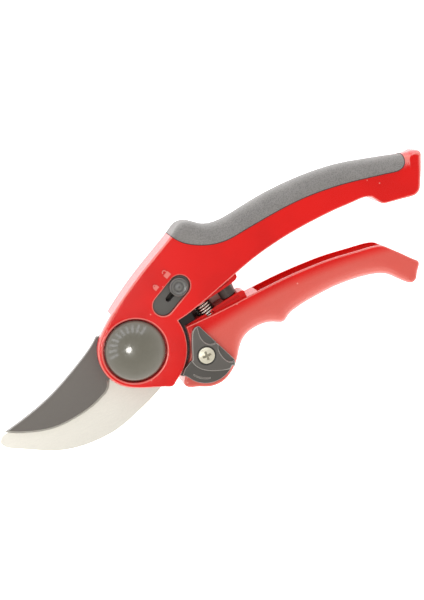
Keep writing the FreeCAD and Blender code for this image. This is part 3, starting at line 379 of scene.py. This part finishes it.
@dataclass(frozen=True)
class GlossPaint(Finish):
    """Enamel with painted highlights on marks and rims, a painted gap shadow, painted reflections and dust
    specks.

    Places and heights are in millimetres, and an _up field is a band of how far a face looks up.
    """

    peel: float = 0.000012
    coat: float = 0.35
    coat_roughness: float = 0.08
    specular: float = 0.38
    cloudy: Band = (0.3, 0.7)
    cloud_tone: float = 0.88
    face_height: float = 16.0
    # painted highlight: the raised marks are lightened towards the pale pink below, which the dust specks
    # use too
    marks: Band = (0.15, 0.4)
    marks_highlight_share: float = 0.42
    dust_and_highlight: Colour = (0.86, 0.42, 0.36)
    # painted highlight on the rounded rims, as a lighter pink
    rim_up: Band = (0.985, 0.9)
    rim_foot_up: Band = (0.3, 0.6)
    rim_highlight_share: float = 0.5
    rim_highlight: Colour = (0.90, 0.36, 0.30)
    # painted shadow: the gap round the spring, a box given in millimetres, is darkened to near black
    gap: tuple[float, float, float, float] = (23.0, 37.8, -1.2, 10.5)
    gap_fade_along: float = 1.0
    gap_fade_across: float = 0.6
    gap_height: Band = (11.0, 6.0)
    gap_up: Band = (-0.6, -0.3)
    gap_shadow_share: float = 0.9
    shadow: Colour = (0.020, 0.008, 0.006)
    # painted reflection: the level ledge behind the spring is lightened to a grey pink
    ledge_fade: float = 0.5
    ledge_end: Band = (51.0, 49.5)
    ledge_height: Band = (4.0, 3.0)
    ledge_up: Band = (0.3, 0.6)
    ledge_reflection_share: float = 0.8
    ledge_reflection: Colour = (0.78, 0.52, 0.47)
    # painted reflection: a lighter, pinker red below a curve along the lower handle's face
    painted_sheen: float = 0.0
    sheen_tint: Colour = (0.66, 0.120, 0.092)
    sheen_middle: float = 68.0
    sheen_top: float = 0.2
    sheen_bend: float = 0.0021
    sheen_fade: Band = (0.8, 6.0)
    sheen_base: float = 0.85
    sheen_patches: float = 0.3
    speck_size: Band = (0.06, 0.035)
    speck_up: Band = (0.9, 0.98)
    speck_share: float = 0.5

    def shade(self, tree: Tree) -> None:
        """Vary the tone, then lay painted light and shade and dust over it by place, height and slope."""
        point = tree.place()
        along, across, height = tree.axes(point)
        up = tree.facing()
        cloud = tree.noise(point, 0.05, 2.0)
        tone = tree.blend(cloud.above(*self.cloudy), self.colour, shaded(self.colour, self.cloud_tone))
        # painted highlight on the raised marks
        raised_highlight = height.above(*(self.face_height + step for step in self.marks))
        tone = tree.blend(raised_highlight * self.marks_highlight_share, tone, self.dust_and_highlight)
        # painted highlight on rounded rims that slope between level and steep
        rim = up.above(*self.rim_up) * up.above(*self.rim_foot_up)
        tone = tree.blend(rim * self.rim_highlight_share, tone, self.rim_highlight)
        # painted shadow in the gap round the spring
        tone = tree.blend(self._gap_shadow(along, across, height, up) * self.gap_shadow_share, tone, self.shadow)
        # painted reflection on the ledge behind the spring
        end = self.gap[1]
        ledge = along.above(end - self.ledge_fade, end + self.ledge_fade) * along.above(*self.ledge_end)
        ledge = ledge * height.above(*self.ledge_height) * up.above(*self.ledge_up)
        tone = tree.blend(ledge * self.ledge_reflection_share, tone, self.ledge_reflection)
        # painted reflection on the lower handle's face
        if self.painted_sheen > 0.0:
            bend = along - self.sheen_middle
            below = self.sheen_top - bend * bend * self.sheen_bend - across
            patchy = self.sheen_base + self.sheen_patches * (cloud - 0.5)
            tone = tree.blend(below.above(*self.sheen_fade) * patchy * self.painted_sheen, tone, self.sheen_tint)
        dust = tree.cells(point, 0.15).above(*self.speck_size) * up.above(*self.speck_up)
        tone = tree.blend(dust * self.speck_share, tone, self.dust_and_highlight)
        peel = tree.noise(point, 1.1, 2.0, 0.4)
        fine = tree.noise(point, 9.0, 2.0, 0.5)
        tree.set(Base_Color=tone, Roughness=self.roughness + 0.08 * fine,
                 Coat_Weight=self.coat, Coat_Roughness=self.coat_roughness,
                 Specular_IOR_Level=self.specular, Normal=tree.bump(peel, self.peel, 0.5))

    def _gap_shadow(self, along: Sock, across: Sock, height: Sock, up: Sock) -> Sock:
        """Share of the painted shadow in the gap round the spring, faded at its four sides."""
        x0, x1, y0, y1 = self.gap
        inside = along.above(x0, x0 + self.gap_fade_along) * along.above(x1, x1 - self.gap_fade_along)
        inside = inside * across.above(y0, y0 + self.gap_fade_across)
        inside = inside * across.above(y1, y1 - self.gap_fade_across)
        return inside * height.above(*self.gap_height) * up.above(*self.gap_up)


@dataclass(frozen=True)
class MouldedRubber(Finish):
    """Soft grip: satin, with a fine spark-eroded grain and a little dust in it."""

    grain: float = 0.00005

    def shade(self, tree: Tree) -> None:
        """Fine pebbles in the normal, and speckles and clouds in the colour."""
        point = tree.place()
        pebble = tree.cells(point, 2.2)
        grit = tree.noise(point, 3.6, 4.0, 0.65)
        cloud = tree.noise(point, 0.09, 3.0)
        tone = tree.blend(cloud.above(0.3, 0.75), self.colour, shaded(self.colour, 1.15))
        tone = tree.blend(grit.above(0.5, 0.3) * 0.5, tone, shaded(self.colour, 0.6))
        speck = tree.blend(grit.above(0.55, 0.7) * 0.6, tone, shaded(self.colour, 1.8))
        coarse = tree.noise(point, 2.0, 1.0)
        speck = tree.blend(coarse.above(0.54, 0.38) * 0.4, speck, shaded(self.colour, 0.45))
        tree.set(Base_Color=speck, Roughness=self.roughness + 0.15 * (grit - 0.5),
                 Specular_IOR_Level=0.45,
                 Normal=tree.bump(pebble * 0.6 + grit * 0.4, self.grain, 0.8))


@dataclass(frozen=True)
class GroundSteel(Finish):
    """Ground steel with a fine blasted grain and faint lines along one direction."""

    turn: float = 0.0
    lines: float = 0.000006
    metal: float = 0.5
    # painted shadow: beyond this place along X, in millimetres, the blade is blackened where its tang lies
    # deep in the gap
    shadow_from: float = 1000.0
    shadow_fade: float = 2.0
    black: Colour = (0.012, 0.009, 0.008)
    grained: Band = (0.3, 0.65)

    def shade(self, tree: Tree) -> None:
        """Draw the grinding lines and the grain, dull patches from handling, and a painted shadow that
        blackens the tang.
        """
        point = tree.place(scale=(0.35, 7.0, 1.0), turn=self.turn)
        line = tree.noise(point, 1.0, 4.0, 0.65)
        grain = tree.noise(tree.place(), 4.5, 3.0, 0.6)
        cloud = tree.noise(tree.place(), 0.12, 3.0)
        dark = shaded(self.colour, 0.86)
        tone = tree.blend((line * 0.4 + grain * 0.6).above(*self.grained), dark, self.colour)
        along = tree.axes(tree.place())[0]
        # painted shadow on the tang
        tang_shadow = along.above(self.shadow_from, self.shadow_from + self.shadow_fade)
        tone = tree.blend(tang_shadow, tone, self.black)
        tree.set(Base_Color=tone, Metallic=self.metal,
                 Roughness=self.roughness + 0.12 * (line - 0.5) + 0.1 * (cloud - 0.5),
                 Normal=tree.bump(line * 0.5 + grain * 0.5, self.lines, 0.7))


@dataclass(frozen=True)
class MouldedPlastic(Finish):
    """Moulded plastic with a faint grain, with painted highlights on its slanted edges and painted shade in
    hollows.
    """

    grain: float = 0.00001
    grain_scale: float = 4.0
    coat: float = 0.0
    coat_roughness: float = 0.08
    # painted highlight: share by which slanted edges are lightened
    edge_highlight: float = 0.0
    # painted shade: below this height the tone darkens, in the lever's scoops
    sunk_below: float = NOWHERE
    sunk_shade_share: float = 0.35
    # painted shade in the gap round a screw: its centre and radius in millimetres
    ring: Optional[Point] = None
    ring_fade: Band = (1.0, 0.4)
    ring_shade_share: float = 0.85

    def shade(self, tree: Tree) -> None:
        """A faint grain, painted highlights on slanted edges, painted shade below a height, and painted
        shade round a screw.
        """
        point = tree.place()
        grit = tree.noise(point, self.grain_scale, 3.0)
        cloud = tree.noise(point, 0.2, 2.0)
        tone = tree.blend(cloud, self.colour, shaded(self.colour, 1.2))
        # painted shade in hollows below a height
        sunk_shade = tree.axes(point)[2].above(self.sunk_below, self.sunk_below - SHADE_FADE)
        tone = tree.blend(sunk_shade * self.sunk_shade_share, tone, shaded(self.colour, 0.2))
        # painted highlight on slanted edges
        if self.edge_highlight > 0.0:
            up = tree.facing()
            slanted = up.above(0.1, 0.35) * up.above(0.97, 0.9)
            tone = tree.blend(slanted * self.edge_highlight, tone, tuple(min(1.0, c * 4.0) for c in self.colour))
        # painted shade in the gap round the screw
        if self.ring:
            x, y, radius = self.ring
            along, across, _ = tree.axes(point)
            away = ((along - x) ** 2.0 + (across - y) ** 2.0).sqrt()
            ring_shade = away.above(*(radius + step for step in self.ring_fade)) * self.ring_shade_share
            tone = tree.blend(ring_shade, tone, shaded(self.colour, 0.1))
        tree.set(Base_Color=tone, Roughness=self.roughness + 0.1 * (grit - 0.5), Coat_Weight=self.coat,
                 Coat_Roughness=self.coat_roughness, Normal=tree.bump(grit, self.grain, 0.6))


@dataclass(frozen=True)
class Plated(Finish):
    """Plated or bright metal, slightly mottled."""

    mottle: float = 0.15
    metal: float = 0.8
    # painted shade: below this height, in millimetres, the tone darkens, as in a screw's cross recess
    shade_below: float = NOWHERE
    shade_share: float = 0.6
    recess_shade: Colour = (0.10, 0.085, 0.05)
    # painted shade: share by which the slanted sides are darkened
    side_shade: float = 0.0
    side_shade_up: Band = (0.88, 0.6)
    side_shadow: Colour = (0.030, 0.022, 0.012)
    pits: float = 0.000006

    def shade(self, tree: Tree) -> None:
        """Mottle the tone, with painted shade below a height in millimetres and painted shade on the slanted
        sides.
        """
        point = tree.place()
        spot = tree.noise(point, 1.4, 4.0, 0.6)
        tone = tree.blend(spot, shaded(self.colour, 1.0 - self.mottle), self.colour)
        height = tree.axes(point)[2]
        # painted shade in the recess below a height
        recess_shade_mask = height.above(self.shade_below, self.shade_below - SHADE_FADE)
        tone = tree.blend(recess_shade_mask * self.shade_share, tone, self.recess_shade)
        # painted shade on the slanted sides
        if self.side_shade > 0.0:
            tone = tree.blend(tree.facing().above(*self.side_shade_up) * self.side_shade, tone, self.side_shadow)
        tree.set(Base_Color=tone, Metallic=self.metal, Roughness=self.roughness + 0.15 * (spot - 0.5),
                 Normal=tree.bump(spot, self.pits, 0.5))


RED = GlossPaint("red_enamel", (0.70, 0.004, 0.002), 0.24)
# the lower casting's enamel carries a painted reflection on its face
SHEEN_RED = replace(RED, name="enamel_painted_sheen", painted_sheen=1.0)
GRIP = MouldedRubber("grip_rubber", (0.212, 0.202, 0.190), 0.48)
HOOK_STEEL = GroundSteel("hook_steel", (0.80, 0.775, 0.70), 0.34, turn=20.0)
# the blade's tang carries a painted shadow
BLADE_COAT = GroundSteel("blade_coating", (0.135, 0.122, 0.108), 0.36, turn=24.0, lines=0.000004, metal=0.15,
                         shadow_from=15.0)
BLADE_GROUND = GroundSteel("blade_bevel", (0.42, 0.40, 0.37), 0.3, turn=24.0, metal=0.6)
CAP = MouldedPlastic("cap_plastic", (0.132, 0.124, 0.096), 0.25, coat=1.0, coat_roughness=0.085,
                     grain=0.000002)
LOCK_GREY = MouldedPlastic("lock_plastic", (0.075, 0.072, 0.064), 0.34)
# the button and the lever carry a painted highlight on their slanted edges
BUTTON_GREY = MouldedPlastic("button_plastic", (0.068, 0.064, 0.058), 0.3, coat=1.0, coat_roughness=0.2,
                             edge_highlight=0.25)
LEVER_BLACK = MouldedPlastic("lever_plastic", (0.098, 0.090, 0.080), 0.24, coat=0.6, edge_highlight=0.7)
BUMPER_BLACK = MouldedRubber("bumper_rubber", (0.060, 0.046, 0.038), 0.40, grain=0.00002)
ZINC = Plated("zinc_plate", (0.90, 0.85, 0.68), 0.26)
WIRE = Plated("spring_wire", (0.88, 0.85, 0.76), 0.22)
# the coil carries painted shade on its slanted sides
COIL = Plated("coil_wire", (0.92, 0.88, 0.76), 0.22, side_shade=0.95)
BLACKED = Plated("blacked_steel", (0.045, 0.040, 0.036), 0.4)
BRONZE = Plated("bush_bronze", (0.62, 0.44, 0.20), 0.35)
GRIME = MouldedPlastic("seam_grime", (0.030, 0.020, 0.018), 0.7)
WASHER = MouldedPlastic("washer_plastic", (0.62, 0.62, 0.58), 0.45)


# ---------------------------------------------------------------------------- the shears
@dataclass
class Handles:
    """Both cast handles and the moulded grip."""

    paint: bpy.types.Material
    painted_sheen: bpy.types.Material
    rubber: bpy.types.Material
    grime: bpy.types.Material

    def build(self) -> None:
        """Skin the castings and the grip."""
        dress(skin("upper_handle", "upper_casting"), self.paint, "upper")
        # the lower casting gets the enamel with the painted reflection
        dress(skin("lower_handle", "lower_casting"), self.painted_sheen, "lower")
        dress(skin("soft_grip", "grip_moulding"), self.rubber, "upper")
        Seam(self.grime).build()


@dataclass
class Seam:
    """Dark line where the grip meets the casting."""

    grime: bpy.types.Material
    radius: float = 0.00016
    corner: float = 55.0
    floor_gap: float = 0.001

    def build(self) -> None:
        """Run a thin bead along the grip's sharp edges, clear of the back that lies on the floor."""
        mesh = merged("soft_grip")
        limit = math.radians(self.corner)
        blunt = [e for e in mesh.edges if len(e.link_faces) != 2 or e.calc_face_angle(0.0) < limit
                 or min(v.co.z for v in e.verts) < self.floor_gap]
        bmesh.ops.delete(mesh, geom=blunt, context="EDGES")
        bmesh.ops.delete(mesh, geom=[v for v in mesh.verts if not v.link_edges], context="VERTS")
        bmesh.ops.delete(mesh, geom=mesh.faces[:], context="FACES_ONLY")
        piece = place_mesh(mesh, "grip_seam")
        for other in bpy.context.selected_objects:
            other.select_set(False)
        bpy.context.view_layer.objects.active = piece
        piece.select_set(True)
        bpy.ops.object.convert(target="CURVE")
        piece.data.bevel_depth = self.radius
        piece.data.bevel_resolution = 1
        bpy.ops.object.convert(target="MESH")
        piece.select_set(False)
        dress(piece, self.grime, "upper")


@dataclass
class Jaws:
    """The hook and the cutting blade."""

    steel: bpy.types.Material
    coating: bpy.types.Material
    ground: bpy.types.Material
    slopes: tuple[float, float] = (0.15, 0.8)
    hook_bevel: float = 0.0002

    def build(self) -> None:
        """Skin both plates, and bare the blade's ground bevel."""
        dress(skin("hook_blade", "hook_plate", self.hook_bevel), self.steel, "upper")
        blade = dress(skin("cutting_blade", "blade_plate"), self.coating, "lower")
        blade.data.materials.append(self.ground)
        low, high = self.slopes
        for face in blade.data.polygons:
            face.material_index = int(low < face.normal.z < high)


@dataclass
class Fittings:
    """Every smaller piece, as (node, piece name, finish, body, slot), and how far some are rounded."""

    rows: list[tuple[str, str, bpy.types.Material, str, str]]
    rounded: dict[str, float]

    def build(self) -> None:
        """Skin each one."""
        for node, name, material, body, slot in self.rows:
            dress(skin(node, name, bevel=self.rounded.get(node, 0.0)), material, body)


class Lamp(Enum):
    """Outline of an area light."""

    RECTANGLE = "RECTANGLE"
    DISK = "DISK"


@dataclass
class Studio:
    """Pale floor, soft lights and the camera."""

    camera_at: Point = (-0.02971642, 0.14436289, 0.666)
    right: Point = (0.89716369, -0.40375453, 0.17910776)
    up: Point = (0.43005966, 0.89095661, -0.14575666)
    lens: float = 97.148
    floor_size: float = 4.0
    horizon: float = 1.0
    zenith: float = 0.25
    strips: int = 10
    first_strip: float = 32.0
    strips_span: float = 150.0
    strips_radius: float = 0.52
    strips_height: float = 0.50
    strip_size: tuple[float, float] = (0.062, 0.46)
    strip_glow: float = 2.4
    aim_at: Point = (0.02, 0.0, 0.01)

    def build(self) -> None:
        """Make the floor, the lights and the camera."""
        self._floor()
        self._lights()
        self._camera()
        bpy.context.scene.view_settings.view_transform = "Standard"

    def _floor(self) -> None:
        """A plain pale sheet under the shears."""
        mesh = bmesh.new()
        bmesh.ops.create_grid(mesh, x_segments=1, y_segments=1, size=self.floor_size / 2)
        bmesh.ops.recalc_face_normals(mesh, faces=mesh.faces)
        floor = place_mesh(mesh, "floor")
        tree = Tree("floor_paper")
        tree.set(Base_Color=(0.93, 0.93, 0.93), Roughness=0.9, Specular_IOR_Level=0.1,
                 Emission_Color=(1.0, 1.0, 1.0), Emission_Strength=1.1)
        floor.data.materials.append(tree.material)

    def _lights(self) -> None:
        """A warm surround, a wide box on the lower side, an arc of cool strips and a round lamp overhead."""
        world = bpy.data.worlds.new("surround")
        world.use_nodes = True
        nodes, links = world.node_tree.nodes, world.node_tree.links
        ramp = nodes.new("ShaderNodeMapRange")
        split = nodes.new("ShaderNodeSeparateXYZ")
        links.new(nodes.new("ShaderNodeTexCoord").outputs["Generated"], split.inputs[0])
        links.new(split.outputs["Z"], ramp.inputs["Value"])
        ramp.inputs["From Min"].default_value = 0.3
        ramp.inputs["To Min"].default_value = self.horizon
        ramp.inputs["To Max"].default_value = self.zenith
        backdrop = nodes["Background"]
        backdrop.inputs[0].default_value = (1.0, 0.985, 0.96, 1.0)
        links.new(ramp.outputs[0], backdrop.inputs[1])
        bpy.context.scene.world = world
        fill = self._panel("wide_box", (0.12, -0.95, 0.75), (2.4, 1.3), 0.9)
        fill.visible_glossy = False
        self._panel("overhead", (-0.085, -0.04, 0.76), (0.12, 0.12), 17.0, Lamp.DISK)
        for k in range(self.strips):
            angle = math.radians(self.first_strip + self.strips_span * k / (self.strips - 1))
            at = (self.strips_radius * math.cos(angle), self.strips_radius * math.sin(angle),
                  self.strips_height)
            self._panel(f"strip_{k}", at, self.strip_size, self.strip_glow, tint=(0.88, 0.90, 1.0))

    def _panel(self, name: str, at: Point, size: tuple[float, float], glow: float,
               shape: Lamp = Lamp.RECTANGLE, tint: Colour = (1.0, 0.98, 0.94)) -> bpy.types.Object:
        """One light aimed at the head of the shears.

        Args:
            name: the light's name.
            at: its centre.
            size: its width and height.
            glow: its brightness, with white paper in full light at about 1.
            shape: its outline.
            tint: its colour.

        Returns:
            The light.
        """
        light = bpy.data.lights.new(name, "AREA")
        light.shape = shape.value
        light.size = size[0]
        if shape is Lamp.RECTANGLE:
            light.size_y = size[1]
        light.energy = glow * math.pi * size[0] * size[1]
        light.color = tint
        lamp = bpy.data.objects.new(name, light)
        lamp.location = at
        aim = Vector(self.aim_at) - Vector(at)
        lamp.rotation_euler = aim.to_track_quat("-Z", "Y").to_euler()
        bpy.context.scene.collection.objects.link(lamp)
        return lamp

    def _camera(self) -> None:
        """Look down on the shears from a little to the upper left."""
        right, up = Vector(self.right), Vector(self.up)
        back = right.cross(up)
        turn = Matrix((right, up, back)).transposed()
        data = bpy.data.cameras.new("camera")
        data.lens = self.lens
        data.sensor_width = 36.0
        data.sensor_fit = "AUTO"
        data.clip_start = 0.01
        camera = bpy.data.objects.new("camera", data)
        camera.matrix_world = Matrix.Translation(self.camera_at) @ turn.to_4x4()
        bpy.context.scene.collection.objects.link(camera)
        bpy.context.scene.camera = camera


SCOOP_DEPTH = 0.2    # millimetres under the lever's top where painted shade darkens its scoops
CROSS_DEPTH = 0.45   # millimetres under the screw's top where painted shade darkens its cross
ROUNDED = {"limiter_lever": 0.0002, "lock_plate": 0.0002, "lock_button": 0.00018, "bumper": 0.0002}


def main() -> None:
    """Build the finishes, the sub-assemblies and the studio in order."""
    logging.basicConfig(level=logging.INFO)
    zinc, wire, plastic = ZINC.build(), WIRE.build(), LOCK_GREY.build()
    washer, black = WASHER.build(), BLACKED.build()
    screw_top, lever_top = (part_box(node)[1][2] / MM for node in ("limiter_screw", "limiter_lever"))
    low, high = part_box("limiter_screw")
    ring = ((low[0] + high[0]) / 2 / MM, (low[1] + high[1]) / 2 / MM, (high[0] - low[0]) / 2 / MM)
    # the lever gets painted shade in its scoops and round its screw; the screw gets painted shade in its
    # cross
    lever = replace(LEVER_BLACK, name="lever_scooped", sunk_below=lever_top - SCOOP_DEPTH, ring=ring).build()
    screw = replace(ZINC, name="screw_zinc", roughness=0.42, shade_below=screw_top - CROSS_DEPTH).build()
    Handles(RED.build(), SHEEN_RED.build(), GRIP.build(), GRIME.build()).build()
    Jaws(HOOK_STEEL.build(), BLADE_COAT.build(), BLADE_GROUND.build()).build()
    Fittings([
        ("pivot_cap", "cap_dome", CAP.build(), "upper", "cap_plastic"),
        ("pivot_bolt", "bolt", zinc, "upper", "zinc_steel"),
        ("friction_washer", "friction_disc", washer, "upper", "washer_plastic"),
        ("spring_washer", "cone_washer", wire, "upper", "spring_steel"),
        ("pivot_nut", "toothed_nut", zinc, "upper", "zinc_steel"),
        ("locking_segment", "nut_lock", zinc, "upper", "zinc_steel"),
        ("segment_screw", "nut_lock_screw", zinc, "upper", "zinc_steel"),
        ("hook_screws", "hook_plate_screws", zinc, "upper", "zinc_steel"),
        ("lock_leaf_spring", "lock_leaf", wire, "upper", "spring_steel"),
        ("lock_plate", "lock_guide", plastic, "upper", "lock_plastic"),
        ("lock_button", "lock_knob", BUTTON_GREY.build(), "lock", "lock_plastic"),
        ("lock_tongue", "lock_bolt", black, "lock", "zinc_steel"),
        ("tongue_screw", "lock_bolt_screw", black, "lock", "zinc_steel"),
        ("return_spring", "coil", COIL.build(), "upper", "spring_steel"),
        ("pivot_bush", "blade_bush", BRONZE.build(), "lower", "bush_brass"),
        ("blade_screws", "blade_plate_screws", zinc, "lower", "zinc_steel"),
        ("bumper", "stop_bumper", BUMPER_BLACK.build(), "lower", "bumper_rubber"),
        ("limiter_washer", "lever_washer", washer, "lower", "washer_plastic"),
        ("limiter_lever", "lever", lever, "limiter", "lever_plastic"),
        ("limiter_screw", "lever_screw", screw, "lower", "zinc_steel"),
    ], ROUNDED).build()
    Studio().build()


if __name__ == "__main__":
    main()
